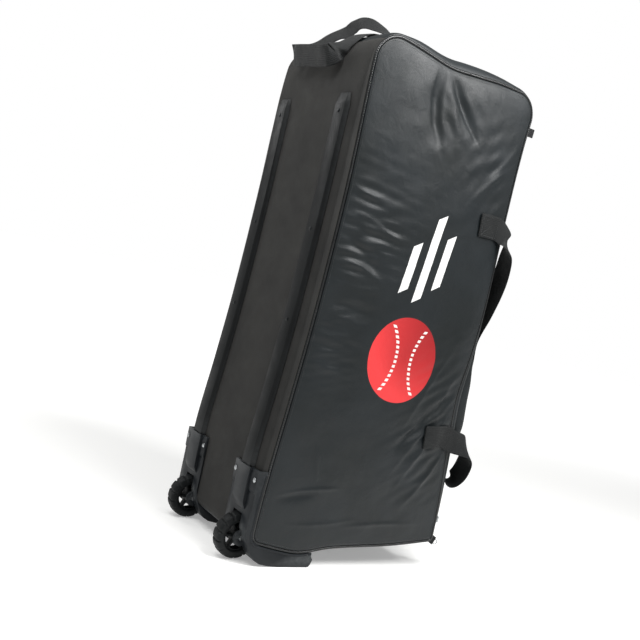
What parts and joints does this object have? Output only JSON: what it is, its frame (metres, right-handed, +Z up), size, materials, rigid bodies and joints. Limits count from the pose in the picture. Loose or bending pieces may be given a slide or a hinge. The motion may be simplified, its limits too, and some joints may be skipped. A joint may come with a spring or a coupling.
{
  "type": "wheeled cricket kit bag",
  "caption": "Tall soft-sided wheeled kit bag standing upright, with a railed back board, corner wheel brackets, webbing handles and a zipped lid.",
  "frame": {"origin": "on the floor, under the middle of the whole bag's bounding box", "axes": "+Z up along the bag's long side, -X out of the stiff board with the rails and wheels, +X out of the zipped lid, -Y out of the front side panel"},
  "size_m": [0.5236, 0.3286, 1.0062],
  "materials": {
    "coated_polyester": "semi-gloss coated woven polyester",
    "board_cover": "matte woven cover over a stiff board",
    "end_polyester": "semi-gloss coated woven polyester",
    "piping_cord": "coated piping over a cord core",
    "webbing": "woven strap",
    "moulded_plastic": "satin moulded plastic",
    "wheel_plastic": "satin moulded wheel with tread blocks",
    "zip_tape": "zip tape with a coil",
    "steel": "satin plated steel"
  },
  "bodies": {
    "bag": {"side_panel_front": "coated_polyester", "side_panel_back": "coated_polyester", "base_board": "board_cover", "wheel_end_panel": "end_polyester", "handle_end_panel": "end_polyester", "lid_panel": "end_polyester", "piping_front": "piping_cord", "piping_back": "piping_cord", "rail_front": "moulded_plastic", "rail_back": "moulded_plastic", "rail_screw_low_front": "steel", "rail_screw_low_back": "steel", "rail_screw_mid_front": "steel", "rail_screw_mid_back": "steel", "rail_screw_high_front": "steel", "rail_screw_high_back": "steel", "bracket_front": "moulded_plastic", "bracket_back": "moulded_plastic", "rivet_outer_front": "steel", "rivet_outer_back": "steel", "rivet_inner_front": "steel", "rivet_inner_back": "steel", "axle_front": "steel", "axle_back": "steel", "lid_pocket": "end_polyester", "zip_chain": "zip_tape", "zip_slider": "steel", "zip_tab_upper": "webbing", "zip_tab_lower": "webbing", "carry_handle_front": "webbing", "carry_handle_back": "webbing", "tow_handle": "webbing"},
    "wheel_front": {"wheel_front": "wheel_plastic"},
    "wheel_back": {"wheel_back": "wheel_plastic"}
  },
  "joints": [
    {"name": "wheel_spin_front", "type": "hinge", "parent": "bag", "child": "wheel_front", "pos_m": [-0.22082, -0.1, 0.041], "axis": [0, 1, 0], "continuous": true},
    {"name": "wheel_spin_back", "type": "hinge", "parent": "bag", "child": "wheel_back", "pos_m": [-0.22082, 0.1, 0.041], "axis": [0, 1, 0], "continuous": true}
  ]
}
